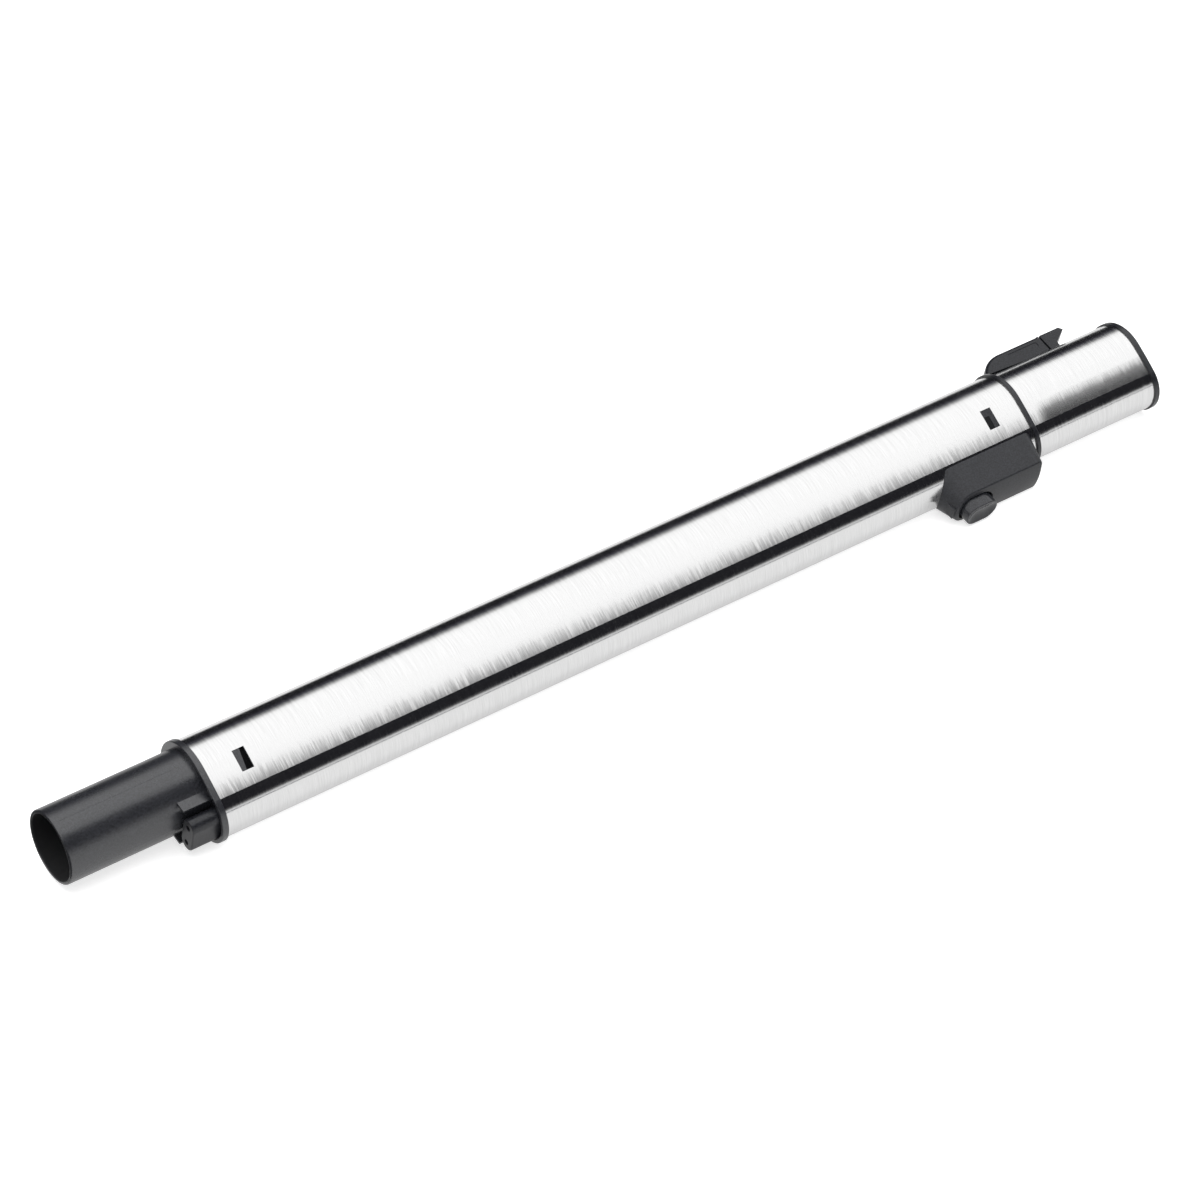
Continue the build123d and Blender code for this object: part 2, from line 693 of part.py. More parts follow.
# Release button
flange_top = housing_crown - housing_wall - fit_gap
with BuildPart() as release_button:
    with BuildSketch(plan_plane(flange_top - button_flange_thickness)):
        button_outline(button_gap + button_ledge)
    extrude(amount=button_flange_thickness)
    keep_under_crown(housing_wall + fit_gap)
    with BuildSketch(plan_plane(flange_top - button_flange_thickness)):
        button_outline(0)
    extrude(amount=button_top - flange_top + button_flange_thickness, taper=button_draft)
    fillet(outermost(release_button.faces(), toward_nose).edges(), button_round)
    # Dish for the finger: a ball drawn along the button
    dish_half_width = button_half_width - button_dish_rim
    dish_radius = (dish_half_width**2 + button_dish_depth**2) / (2 * button_dish_depth)
    dish_center = toward_nose * (button_top + dish_radius - button_dish_depth) + along * button_center
    dish_half_length = button_length / 2 - button_half_width
    with Locations(dish_center - along * dish_half_length, dish_center + along * dish_half_length):
        Sphere(dish_radius, mode=Mode.SUBTRACT)
    with BuildSketch(Plane(origin=dish_center, x_dir=toward_nose, z_dir=along)):
        Circle(dish_radius)
    extrude(amount=dish_half_length, both=True, mode=Mode.SUBTRACT)
    # Notch that leaves room for the rocker's arm
    with BuildSketch(plan_plane(0)):
        with Locations((nub_center + nub_radius + button_length / 2, 0)):
            Rectangle(button_length, 2 * (rocker_half_width + boss_gap))
    extrude(amount=flange_top, mode=Mode.SUBTRACT)
    with BuildSketch(plan_plane(rocker_left_top + running_gap)):
        with Locations((nub_center, 0)):
            Circle(nub_radius)
    extrude(amount=flange_top - rocker_left_top - running_gap)
release_button.part.label = "release_button"

# Lock rocker: the button pushes its left arm in, and its right arm lifts the tooth
tooth_tip = nose_tip + inner_outside + running_gap
with BuildPart() as lock_rocker:
    with BuildSketch(side_plane()):
        with Locations((rocker_pin_x, rocker_pin_u)):
            Circle(rocker_hub_radius)
        with BuildLine():
            Polyline(
                (rocker_left_end, rocker_left_top),
                (rocker_pin_x, rocker_left_top),
                (rocker_tooth_x + rocker_tooth_length / 2, rocker_right_top),
                (rocker_tooth_x + rocker_tooth_length / 2, rocker_right_top - rocker_arm_thickness),
                (rocker_pin_x, rocker_left_top - rocker_arm_thickness),
                (rocker_left_end, rocker_left_top - rocker_arm_thickness),
                close=True,
            )
        make_face()
    extrude(amount=rocker_half_width, both=True)
    with BuildSketch(side_plane()):
        with Locations((rocker_tooth_x, (tooth_tip + rocker_right_top) / 2)):
            Rectangle(rocker_tooth_length, rocker_right_top - tooth_tip)
    extrude(amount=rocker_tooth_half_width, both=True)
    tooth_edges = lock_rocker.edges().filter_by(Axis((0, 0, 0), across))
    fillet(tooth_edges.sort_by(lambda edge: edge.center().dot(toward_nose))[:2], rocker_tooth_round)
    # Pocket for the spring, open to the bottom of the housing
    with BuildSketch(plan_plane(tooth_tip + rocker_pocket_floor)):
        with Locations((rocker_tooth_x, 0)):
            Circle(lock_spring_radius + lock_spring_wire + fit_gap)
    extrude(amount=housing_depth, mode=Mode.SUBTRACT)
    with BuildSketch(side_plane()):
        with Locations((rocker_pin_x, rocker_pin_u)):
            Circle(rocker_pin_radius + rocker_pin_gap)
    extrude(amount=rocker_half_width, both=True, mode=Mode.SUBTRACT)
lock_rocker.part.label = "lock_rocker"

# Pin of the rocker
with BuildPart() as rocker_pin:
    with BuildSketch(side_plane()):
        with Locations((rocker_pin_x, rocker_pin_u)):
            Circle(rocker_pin_radius)
    extrude(amount=corner_half_width - housing_edge_round, both=True)
rocker_pin.part.label = "rocker_pin"


def coil_path(seat, direction, length, radius, turns):
    """Helix of a compression spring that stands on its seat and points along direction."""
    return Plane(origin=seat, x_dir=along, z_dir=direction) * Helix(length / turns, length, radius)


# Coil spring of the rocker, in the pocket above its tooth
lock_spring_foot = tooth_tip + rocker_pocket_floor + lock_spring_wire + seat_gap
lock_spring_head = housing_crown - housing_wall - lock_spring_wire - 2 * fit_gap
lock_path = coil_path(
    along * rocker_tooth_x + toward_nose * lock_spring_foot,
    toward_nose,
    lock_spring_head - lock_spring_foot,
    lock_spring_radius,
    lock_spring_turns,
)
with BuildPart() as lock_spring:
    with BuildSketch(lock_path ^ 0):
        Circle(lock_spring_wire)
    sweep(path=lock_path, is_frenet=True)
lock_spring.part.label = "lock_spring"


def catch_side(inset=0.0):
    """Side outline of the catch lever's body, from the press end to the claw."""
    top = catch_height - inset
    left = catch_left + inset
    foot = body_radius / 2
    with BuildLine() as outline:
        Line((left, -foot), (left, -catch_press_height))
        TangentArc((catch_shoulder_x, -top), (left, -catch_press_height), tangent=(-1, 0))
        Line((catch_shoulder_x, -top), (catch_body_end - inset, -top))
        Line((catch_body_end - inset, -top), (catch_body_end - inset, -foot))
        Line((catch_body_end - inset, -foot), (left, -foot))
    make_face(outline.edges())


swing = radians(catch_swing)
# Catch lever: press pad on the left, claw on the right, hollow between
with BuildPart() as catch_lever:
    with BuildSketch(side_plane()):
        catch_side()
    extrude(amount=catch_half_width, both=True)
    for side in (1, -1):
        flank_edges = outermost(catch_lever.faces(), across * side).edges()
        roof_edges = flank_edges.filter_by(lambda edge: edge.center().dot(toward_nose) < -catch_press_height)
        fillet(roof_edges, catch_round)
    with BuildSketch(side_plane()):
        catch_side(catch_wall)
    extrude(amount=catch_half_width - catch_wall, both=True, mode=Mode.SUBTRACT)
    # Claw with its undercut towards the handle, joined to the body behind a narrow relief
    with BuildSketch(side_plane()):
        claw = (
            (catch_body_end - catch_wall, -catch_claw_height),
            (catch_claw_top_x, -catch_claw_height),
            (catch_tip_x, -catch_tip_height),
            (catch_claw_foot_x, -body_radius),
            (catch_claw_foot_x, -body_radius / 2),
            (catch_body_end - catch_wall, -body_radius / 2),
        )
        Polygon(*claw, align=None)
    extrude(amount=catch_half_width, both=True)
    for side in (1, -1):
        with BuildSketch(side_plane(side * catch_half_width)):
            with Locations((catch_body_end + catch_slot / 2, -catch_height)):
                Rectangle(catch_slot, catch_height)
            panel_left = catch_shoulder_x + catch_panel_margin
            panel_right = catch_body_end - catch_panel_margin
            panel_middle = catch_height - catch_panel_margin - catch_panel_height / 2
            with Locations(((panel_left + panel_right) / 2, -panel_middle)):
                RectangleRounded(panel_right - panel_left, catch_panel_height, panel_round)
        extrude(amount=-side * catch_panel_depth, mode=Mode.SUBTRACT)
        with BuildSketch(side_plane(side * catch_half_width)):
            with Locations((catch_body_end + catch_slot / 2, -catch_height)):
                Rectangle(catch_slot, catch_height)
        extrude(amount=-side * catch_slot_depth, mode=Mode.SUBTRACT)
    # Hub on the pin, hung from the roof
    with BuildSketch(side_plane()):
        with Locations((catch_pin_x, -catch_pin_height)):
            Circle(catch_hub_radius)
        with Locations((catch_pin_x, -(catch_pin_height + catch_height - catch_wall / 2) / 2)):
            Rectangle(2 * catch_pin_radius, catch_height - catch_wall / 2 - catch_pin_height)
    extrude(amount=ear_inner - catch_gap, both=True)
    # Underside shaped to the tube, at rest and at the end of the press
    with BuildSketch(section_plane(catch_left - catch_half_width)):
        Circle(catch_seat_radius + catch_gap)
    extrude(amount=wand_end - catch_left, mode=Mode.SUBTRACT)
    swung_origin = (
        along * (catch_pin_x - catch_pin_height * sin(swing))
        + toward_nose * (catch_pin_height * cos(swing) - catch_pin_height)
    )
    swung_axis = along * cos(swing) + toward_nose * sin(swing)
    with BuildSketch(Plane(origin=swung_origin, x_dir=across, z_dir=swung_axis)):
        Circle(catch_seat_radius + catch_gap)
    extrude(amount=wand_end - catch_left, both=True, mode=Mode.SUBTRACT)
    with BuildSketch(side_plane()):
        with Locations((catch_pin_x, -catch_pin_height)):
            Circle(catch_pin_radius + rocker_pin_gap)
    extrude(amount=catch_half_width - catch_wall, both=True, mode=Mode.SUBTRACT)
catch_lever.part.label = "catch_lever"

# Plate of the catch: a saddle on the tube, two ears for the pin and two feet through the tube
with BuildPart() as catch_plate:
    with BuildSketch(section_plane(plate_left)):
        Circle(catch_plate_radius)
        with Locations((-catch_plate_radius, 0)):
            Rectangle(catch_plate_radius, 2 * plate_half_width, mode=Mode.INTERSECT)
    extrude(amount=plate_end - plate_left)
    for side in (1, -1):
        with BuildSketch(side_plane(side * ear_inner)):
            with Locations((catch_pin_x, -catch_pin_height)):
                Circle(ear_radius)
            with Locations((catch_pin_x, -(catch_pin_height + body_radius / 2) / 2)):
                Rectangle(2 * ear_radius, catch_pin_height - body_radius / 2)
        extrude(amount=side * ear_thickness)
    with BuildSketch(side_plane()):
        with Locations((catch_pin_x, -catch_pin_height)):
            Circle(catch_pin_radius + seat_gap)
    extrude(amount=catch_half_width, both=True, mode=Mode.SUBTRACT)
    with BuildSketch(section_plane(plate_left)):
        Circle(catch_seat_radius)
    extrude(amount=plate_end - plate_left, mode=Mode.SUBTRACT)
    with BuildSketch(plan_plane(-catch_plate_radius + plate_thickness / 2)):
        with Locations((plate_left + catch_foot_inset, 0), (plate_end - catch_foot_inset, 0)):
            Rectangle(catch_foot_length, 2 * catch_foot_half_width)
    extrude(amount=plate_thickness / 2 + inner_wall - fit_gap)
catch_plate.part.label = "catch_plate"

# Pin of the catch
with BuildPart() as catch_pin:
    with BuildSketch(side_plane()):
        with Locations((catch_pin_x, -catch_pin_height)):
            Circle(catch_pin_radius)
    extrude(amount=ear_inner + ear_thickness, both=True)
catch_pin.part.label = "catch_pin"

# Coil spring under the press pad
catch_spring_foot = catch_plate_radius + catch_spring_wire + seat_gap
catch_spring_head = catch_height - catch_wall - catch_roof_drop - catch_spring_wire - seat_gap
catch_path = coil_path(
    along * catch_spring_x - toward_nose * catch_spring_foot,
    -toward_nose,
    catch_spring_head - catch_spring_foot,
    catch_spring_radius,
    catch_spring_turns,
)
with BuildPart() as catch_spring:
    with BuildSketch(catch_path ^ 0):
        Circle(catch_spring_wire)
    sweep(path=catch_path, is_frenet=True)
catch_spring.part.label = "catch_spring"

finished = [outer_tube, nozzle_spigot, plug_housing, *plug_contacts, guide_sleeve, fixed_duct]
finished += [inner_tube, tail_shoe, duct_seal, sliding_duct, handle_socket, inlet_block, *inlet_pins]
finished += [coiled_lead]
finished += [release_housing, release_button, lock_rocker, rocker_pin, lock_spring]
finished += [catch_lever, catch_plate, catch_pin, catch_spring]
for piece in finished:
    export_step(piece.part, f"parts/{piece.part.label}.step")
    print(piece.part.label, len(piece.part.solids()), round(piece.part.volume, 2))
print("roll", round(degrees(roll), 3), "wand end", round(wand_end, 3))
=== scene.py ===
"""Looks of a telescopic vacuum wand: brushed stainless tubes with moulded plastic fittings."""

import json
import math

import bpy
from mathutils import Matrix, Vector


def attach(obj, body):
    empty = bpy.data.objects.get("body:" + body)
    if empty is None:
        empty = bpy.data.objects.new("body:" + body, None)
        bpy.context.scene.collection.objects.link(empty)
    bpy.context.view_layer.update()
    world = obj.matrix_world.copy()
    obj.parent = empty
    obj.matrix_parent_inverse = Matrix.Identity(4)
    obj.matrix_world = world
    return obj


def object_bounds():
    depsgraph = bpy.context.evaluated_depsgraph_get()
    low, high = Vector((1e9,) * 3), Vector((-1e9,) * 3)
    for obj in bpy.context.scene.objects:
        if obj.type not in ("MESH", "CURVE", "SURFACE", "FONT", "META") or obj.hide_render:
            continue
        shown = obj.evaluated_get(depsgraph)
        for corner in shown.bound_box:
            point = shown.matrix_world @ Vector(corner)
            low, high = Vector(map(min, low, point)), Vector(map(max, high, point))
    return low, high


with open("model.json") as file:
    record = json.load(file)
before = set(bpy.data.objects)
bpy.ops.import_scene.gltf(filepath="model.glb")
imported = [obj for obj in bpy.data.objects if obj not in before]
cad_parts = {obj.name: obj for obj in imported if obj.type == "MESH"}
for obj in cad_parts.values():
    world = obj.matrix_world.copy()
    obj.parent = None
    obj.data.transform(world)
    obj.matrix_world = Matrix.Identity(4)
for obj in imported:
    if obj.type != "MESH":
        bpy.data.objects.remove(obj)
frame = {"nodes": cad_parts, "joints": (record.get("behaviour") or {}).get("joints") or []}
MODEL_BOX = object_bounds()

bl_info = {
    "name": "Telescopic Wand Dresser",
    "version": (1, 0, 0),
    "blender": (4, 5, 0),
    "location": "View3D > Sidebar > Wand",
    "description": "Gives the tubes, the moulded fittings and the small metal of the wand their finish",
    "category": "Object",
}

MM = 0.001

# The wand is stored rolled onto the edge of its release housing: these directions are its own
TOWARD_NOSE = -Vector(
    next(joint["axis"] for joint in frame["joints"] if joint["name"] == "button_press")
).normalized()
ALONG = Vector((1, 0, 0))
ACROSS = ALONG.cross(TOWARD_NOSE)

# Snap windows in millimetres, as the part has them: the slope and reach of the flanks, how far down the
# flank a window lies, and half the length and width of the tongue in it
FLANK_ANGLE = math.radians(68.231)
FLANK_REACH = 20.249
WINDOW_DOWN = 2.6
TONGUE_HALF_LENGTH = 2.85
TONGUE_HALF_WIDTH = 5.0

# The sunk part of each tongue: where its window lies along the wand, how deep the part is, and its outline
# in halves of the tongue, along the wand and down the flank, with the slant of its lower corner
# A near black plate of painted shade lies on the floor of each sunk part
FRONT_POCKET = {"middle": 89.2, "depth": 1.3, "along": (0.2, 1.0), "down": (-1.0, 1.0), "slant": -0.45}
REAR_POCKET = {"middle": 509.1, "depth": 0.45, "along": (-1.0, 0.1), "down": (-0.3, 1.0), "slant": 0.0}
# Thickness of the plate of painted shade on the floor of a pocket, in millimetres
POCKET_PLATE = 0.1

# Flats that the press leaves low on both flanks of the inner tube, hundredths of a millimetre deep: where
# they begin along the wand, where they are full, how high up the flank they reach and over how much they
# fade, in millimetres, and their lean as a slope
PRESSED_START = 533.0
PRESSED_FULL = 541.0
PRESSED_UPPER = 11.2
PRESSED_FADE = 0.8
PRESSED_LEAN = -0.02

# Nearly all the values of a noise texture lie between these two
NOISE_LOW = 0.3
NOISE_HIGH = 0.7

# Hairlines: how far they draw a highlight out, the darkest against the brightest, and the swing of their
# roughness about its mean. The offset gives the inner tube hairlines of its own.
HAIRLINE_STRETCH = 0.85
HAIRLINE_DARKEST = 0.88
HAIRLINE_UNEVEN = 0.05
INNER_TUBE_OFFSET = 7.3

# Moulded grain: the share of the noise that it shows, its pits and peaks against the mean colour, and how
# strongly it turns the light
GRAIN_LOW = 0.35
GRAIN_HIGH = 0.65
GRAIN_PIT = 0.5
GRAIN_PEAK = 1.5
GRAIN_STRENGTH = 0.6

# Uneven sheen of a moulding: how far apart its thick and thin walls lie, in millimetres, and its swing
WALL_SPACING = 18.0
SHEEN_UNEVEN = 0.03

# A bore that the mould leaves unpolished, with painted shade in it for the dark deep inside: the near black
# of the painted shade, its roughness, and the rim's fade in millimetres
BORE_SHADE_COLOUR = (0.002, 0.002, 0.003, 1.0)
DULL_ROUGHNESS = 0.9
DULL_AND_SHADED_RIM = 0.3

# Swing of the roughness of turned, ground and drawn metal about its mean
SMALL_METAL_UNEVEN = 0.06

# Dark card on the floor before the mouth, in millimetres along the wand: where it is full and where it ends
CARD_FULL = -12.0
CARD_END = -2.0


class WandColours(bpy.types.PropertyGroup):
    """Colours as hex values in sRGB."""

    steel: bpy.props.StringProperty(
        name="Stainless steel", description="Ferritic stainless steel, ground and brushed", default="E6E6E6"
    )
    wire: bpy.props.StringProperty(
        name="Spring wire", description="Drawn spring steel wire", default="9A9A98"
    )
    pin: bpy.props.StringProperty(name="Pins", description="Ground steel pins", default="C4C4C2")
    brass: bpy.props.StringProperty(name="Contacts", description="Turned brass contacts", default="CDB174")
    spigot: bpy.props.StringProperty(
        name="Spigot", description="Polypropylene of the spigot", default="222327"
    )
    rings: bpy.props.StringProperty(
        name="Rings", description="Acetal of the rings and sleeves", default="1C1D21"
    )
    plug: bpy.props.StringProperty(
        name="Plug", description="Polyamide of the plug and the inlet", default="1B1C20"
    )
    housing: bpy.props.StringProperty(
        name="Housing", description="ABS of the release housing", default="1D1E22"
    )
    button: bpy.props.StringProperty(name="Button", description="ABS of the button cap", default="202125")
    catch: bpy.props.StringProperty(name="Catch", description="ABS of the handle catch", default="1B1C20")
    rocker: bpy.props.StringProperty(
        name="Rocker", description="Acetal of the lock rocker", default="3A3B3E"
    )
    duct: bpy.props.StringProperty(
        name="Ducts", description="Polypropylene of the air ducts", default="1E1F22"
    )
    rubber: bpy.props.StringProperty(
        name="Seal", description="Nitrile rubber of the duct seal", default="1B1B1D"
    )
    lead: bpy.props.StringProperty(
        name="Lead", description="PVC jacket of the coiled lead", default="222225"
    )
    # Painted shade: near black colours of the plates on the pocket floors, standing for the shade deep in
    # the pockets
    front_pocket_shade: bpy.props.StringProperty(
        name="Front pocket shade", description="Polypropylene in the shade of the front windows", default="050506"
    )
    rear_pocket_shade: bpy.props.StringProperty(
        name="Rear pocket shade", description="Acetal in the shade of the rear windows", default="0C0D0F"
    )


class WandSizes(bpy.types.PropertyGroup):
    """Real sizes of the finishes and of the small moulded details."""

    hairline_spacing: bpy.props.FloatProperty(
        name="Hairline spacing",
        description="Mean spacing of the brushed lines, wider than the real one so that they show",
        default=0.55 * MM,
        min=0.05 * MM,
        max=2.0 * MM,
        subtype="DISTANCE",
    )
    hairline_length: bpy.props.FloatProperty(
        name="Hairline length",
        description="Mean length of the brushed lines",
        default=14.0 * MM,
        min=1.0 * MM,
        max=60.0 * MM,
        subtype="DISTANCE",
    )
    hairline_lean: bpy.props.FloatProperty(
        name="Hairline lean",
        description="How far the brushed lines lean sideways, as a slope",
        default=0.009,
        min=0.0,
        max=0.2,
    )
    steel_roughness: bpy.props.FloatProperty(
        name="Steel roughness",
        description="Mean roughness of the brushed steel",
        default=0.17,
        min=0.05,
        max=0.6,
        subtype="FACTOR",
    )
    moulded_grit: bpy.props.FloatProperty(
        name="Moulded grit",
        description="Grain of the spark-eroded mould, coarser than the real one so that it shows",
        default=0.7 * MM,
        min=0.05 * MM,
        max=2.0 * MM,
        subtype="DISTANCE",
    )
    flash_width: bpy.props.FloatProperty(
        name="Parting line width",
        description="Width of the line where the mould halves met",
        default=0.3 * MM,
        min=0.05 * MM,
        max=1.0 * MM,
        subtype="DISTANCE",
    )
    flash_height: bpy.props.FloatProperty(
        name="Parting line height",
        description="How far the line stands out",
        default=0.06 * MM,
        min=0.01 * MM,
        max=0.5 * MM,
        subtype="DISTANCE",
    )
    flash_root: bpy.props.FloatProperty(
        name="Parting line thickness",
        description="Thickness of the line with the part of it that is sunk in the wall",
        default=0.3 * MM,
        min=0.1 * MM,
        max=1.0 * MM,
        subtype="DISTANCE",
    )
    flash_edge: bpy.props.FloatProperty(
        name="Parting line edge",
        description="Rounding of the edges of the line",
        default=0.04 * MM,
        min=0.01 * MM,
        max=0.2 * MM,
        subtype="DISTANCE",
    )
    flash_start: bpy.props.FloatProperty(
        name="Parting line start",
        description="Distance from the mouth to the line",
        default=2.0 * MM,
        min=1.0 * MM,
        max=20.0 * MM,
        subtype="DISTANCE",
    )
    flash_gap: bpy.props.FloatProperty(
        name="Parting line gap",
        description="Distance from the end of the line to the collar",
        default=1.0 * MM,
        min=0.0,
        max=20.0 * MM,
        subtype="DISTANCE",
    )
    spigot_radius: bpy.props.FloatProperty(
        name="Spigot radius",
        description="Outside radius of the nozzle spigot",
        default=17.5 * MM,
        min=5.0 * MM,
        max=40.0 * MM,
        subtype="DISTANCE",
    )
    collar_front: bpy.props.FloatProperty(
        name="Collar front",
        description="Distance from the mouth to the collar",
        default=67.9 * MM,
        min=20.0 * MM,
        max=120.0 * MM,
        subtype="DISTANCE",
    )


class WandStage(bpy.types.PropertyGroup):
    """Camera, floor and reflections of the stage."""

    camera_place: bpy.props.FloatVectorProperty(
        name="Camera place",
        description="Where the camera stands",
        default=(-0.6359, -1.3607, 1.1627),
        subtype="TRANSLATION",
    )
    camera_turn: bpy.props.FloatVectorProperty(
        name="Camera turn",
        description="Turn of the camera about X, Y and Z",
        default=[math.radians(turn) for turn in (54.691, 2.486, -35.992)],
        subtype="EULER",
    )
    camera_lens: bpy.props.FloatProperty(
        name="Lens",
        description="Focal length on a sensor 36 mm wide",
        default=132.42,
        min=10.0,
        max=400.0,
        unit="CAMERA",
    )
    top_light: bpy.props.FloatProperty(
        name="Top light",
        description="Radiance of the soft box overhead, as the steel reflects it",
        default=1.3,
        min=0.0,
        max=4.0,
    )
    dark_card: bpy.props.FloatProperty(
        name="Dark cards",
        description="Radiance of the dark cards beside the soft box",
        default=0.012,
        min=0.0,
        max=1.0,
    )
    tent_light: bpy.props.FloatProperty(
        name="Tent light",
        description="Radiance of the tent on all that isn't a mirror",
        default=0.55,
        min=0.0,
        max=1.0,
    )
    paper: bpy.props.FloatProperty(
        name="Paper", description="Brightness of the floor", default=0.8, min=0.0, max=1.0, subtype="FACTOR"
    )
    paper_glow: bpy.props.FloatProperty(
        name="Paper glow",
        description="Light that the camera sees on top of the floor's own, to bring the floor near white",
        default=0.6,
        min=0.0,
        max=1.0,
    )
    mirrored_paper: bpy.props.FloatProperty(
        name="Mirrored paper",
        description="Brightness of the floor in reflections",
        default=0.36,
        min=0.0,
        max=1.0,
        subtype="FACTOR",
    )
    mirrored_glow: bpy.props.FloatProperty(
        name="Mirrored glow",
        description="Light of the floor in reflections, on top of its own",
        default=0.5,
        min=0.0,
        max=1.0,
    )
    mouth_card: bpy.props.FloatProperty(
        name="Mouth card",
        description="Brightness of the dark card before the mouth, which only reflections show",
        default=0.02,
        min=0.0,
        max=1.0,
        subtype="FACTOR",
    )


def linear(text):
    """Linear colour of a hex value in sRGB."""
    levels = [int(text[i : i + 2], 16) / 255 for i in (0, 2, 4)]
    return [v / 12.92 if v <= 0.04045 else ((v + 0.055) / 1.055) ** 2.4 for v in levels] + [1.0]


def add_node(tree, kind, inputs=None, **settings):
    """Adds a node, sets its properties, and gives its inputs values or links from other nodes' outputs."""
    made = tree.nodes.new(kind)
    for name, value in settings.items():
        setattr(made, name, value)
    for name, value in (inputs or {}).items():
        if isinstance(value, bpy.types.NodeSocket):
            tree.links.new(value, made.inputs[name])
        else:
            made.inputs[name].default_value = value
    return made


def new_material(name):
    """An empty node material, its tree and its principled shader."""
    material = bpy.data.materials.new(name)
    material.use_nodes = True
    tree = material.node_tree
    return material, tree, tree.nodes["Principled BSDF"]


def paint(material, *nodes):
    """Gives CAD nodes a material."""
    for name in nodes:
        piece = frame["nodes"][name]
        piece.data.materials.clear()
        piece.data.materials.append(material)


def deselect():
    """Leaves nothing selected."""
    bpy.ops.object.select_all(action="DESELECT")


def brushed_stainless(name, colour, sizes, offset, pressed=False):
    """Ferritic stainless tube, welded from strip and brushed around its girth.

    The brush leaves fine hairlines around the tube. They draw every highlight out along the tube and leave
    it sharp around the girth, with ragged edges where neighbouring hairlines lean a little differently. Real
    ones lie about 0.1 mm apart, too fine to show, so they are drawn at 0.55 mm.
    """
    material, tree, shader = new_material(name)
    shader.inputs["Metallic"].default_value = 1.0
    shader.inputs["Anisotropic"].default_value = HAIRLINE_STRETCH
    # A quarter turn, so that highlights are drawn out along the tube
    shader.inputs["Anisotropic Rotation"].default_value = 0.25
    place = add_node(tree, "ShaderNodeTexCoord").outputs["Object"]
    around = 1 / sizes.hairline_length
    stretch = add_node(
        tree,
        "ShaderNodeMapping",
        {
            "Vector": place,
            "Location": (offset, offset, 0.0),
            "Scale": (1 / sizes.hairline_spacing, around, around),
        },
    )
    hairlines = add_node(
        tree,
        "ShaderNodeTexNoise",
        {"Vector": stretch.outputs["Vector"], "Scale": 1.0, "Detail": 3.0, "Roughness": 0.6},
    ).outputs["Fac"]
    roughness = add_node(
        tree,
        "ShaderNodeMapRange",
        {
            "Value": hairlines,
            "From Min": NOISE_LOW,
            "From Max": NOISE_HIGH,
            "To Min": sizes.steel_roughness - HAIRLINE_UNEVEN,
            "To Max": sizes.steel_roughness + HAIRLINE_UNEVEN,
        },
    )
    tone = add_node(
        tree,
        "ShaderNodeMapRange",
        {
            "Value": hairlines,
            "From Min": NOISE_LOW,
            "From Max": NOISE_HIGH,
            "To Min": HAIRLINE_DARKEST,
            "To Max": 1.0,
        },
    )
    steel = add_node(
        tree,
        "ShaderNodeVectorMath",
        {0: linear(colour)[:3], "Scale": tone.outputs["Result"]},
        operation="SCALE",
    )
    lean = add_node(
        tree,
        "ShaderNodeMapRange",
        {
            "Value": hairlines,
            "From Min": NOISE_LOW,
            "From Max": NOISE_HIGH,
            "To Min": -sizes.hairline_lean,
            "To Max": sizes.hairline_lean,
        },
    ).outputs["Result"]
    if pressed:
        flats = pressed_flats(tree, place)
        lean = add_node(tree, "ShaderNodeMath", {0: lean, 1: flats}, operation="ADD").outputs["Value"]
    tangent = add_node(tree, "ShaderNodeTangent", direction_type="RADIAL", axis="X").outputs["Tangent"]
    sideways = add_node(tree, "ShaderNodeVectorMath", {0: tangent, "Scale": lean}, operation="SCALE")
    surface = add_node(tree, "ShaderNodeNewGeometry")
    leaning = add_node(
        tree,
        "ShaderNodeVectorMath",
        {0: surface.outputs["Normal"], 1: sideways.outputs["Vector"]},
        operation="ADD",
    )
    normal = add_node(
        tree, "ShaderNodeVectorMath", {0: leaning.outputs["Vector"]}, operation="NORMALIZE"
    )
    tree.links.new(steel.outputs["Vector"], shader.inputs["Base Color"])
    tree.links.new(roughness.outputs["Result"], shader.inputs["Roughness"])
    tree.links.new(normal.outputs["Vector"], shader.inputs["Normal"])
    tree.links.new(tangent, shader.inputs["Tangent"])
    return material


def pressed_flats(tree, place):
    """Lean of the pressed flats under the handle, which turns opposite ways on the two flanks."""
    along = add_node(tree, "ShaderNodeSeparateXYZ", {"Vector": place}).outputs["X"]
    begun = add_node(
        tree,
        "ShaderNodeMapRange",
        {"Value": along, "From Min": PRESSED_START * MM, "From Max": PRESSED_FULL * MM},
        interpolation_type="SMOOTHSTEP",
    )
    up_the_flank = add_node(
        tree, "ShaderNodeVectorMath", {0: place, 1: TOWARD_NOSE}, operation="DOT_PRODUCT"
    )
    low_part = add_node(
        tree,
        "ShaderNodeMapRange",
        {
            "Value": up_the_flank.outputs["Value"],
            "From Min": (PRESSED_UPPER - PRESSED_FADE) * MM,
            "From Max": (PRESSED_UPPER + PRESSED_FADE) * MM,
        },
        interpolation_type="SMOOTHSTEP",
    )
    flat = add_node(
        tree,
        "ShaderNodeMath",
        {0: low_part.outputs["Result"], 1: begun.outputs["Result"]},
        operation="MULTIPLY",
    )
    aside = add_node(tree, "ShaderNodeVectorMath", {0: place, 1: ACROSS}, operation="DOT_PRODUCT")
    flank = add_node(tree, "ShaderNodeMath", {0: aside.outputs["Value"]}, operation="SIGN")
    strength = add_node(
        tree, "ShaderNodeMath", {0: flank.outputs["Value"], 1: PRESSED_LEAN}, operation="MULTIPLY"
    )
    lean = add_node(
        tree,
        "ShaderNodeMath",
        {0: flat.outputs["Value"], 1: strength.outputs["Value"]},
        operation="MULTIPLY",
    )
    return lean.outputs["Value"]


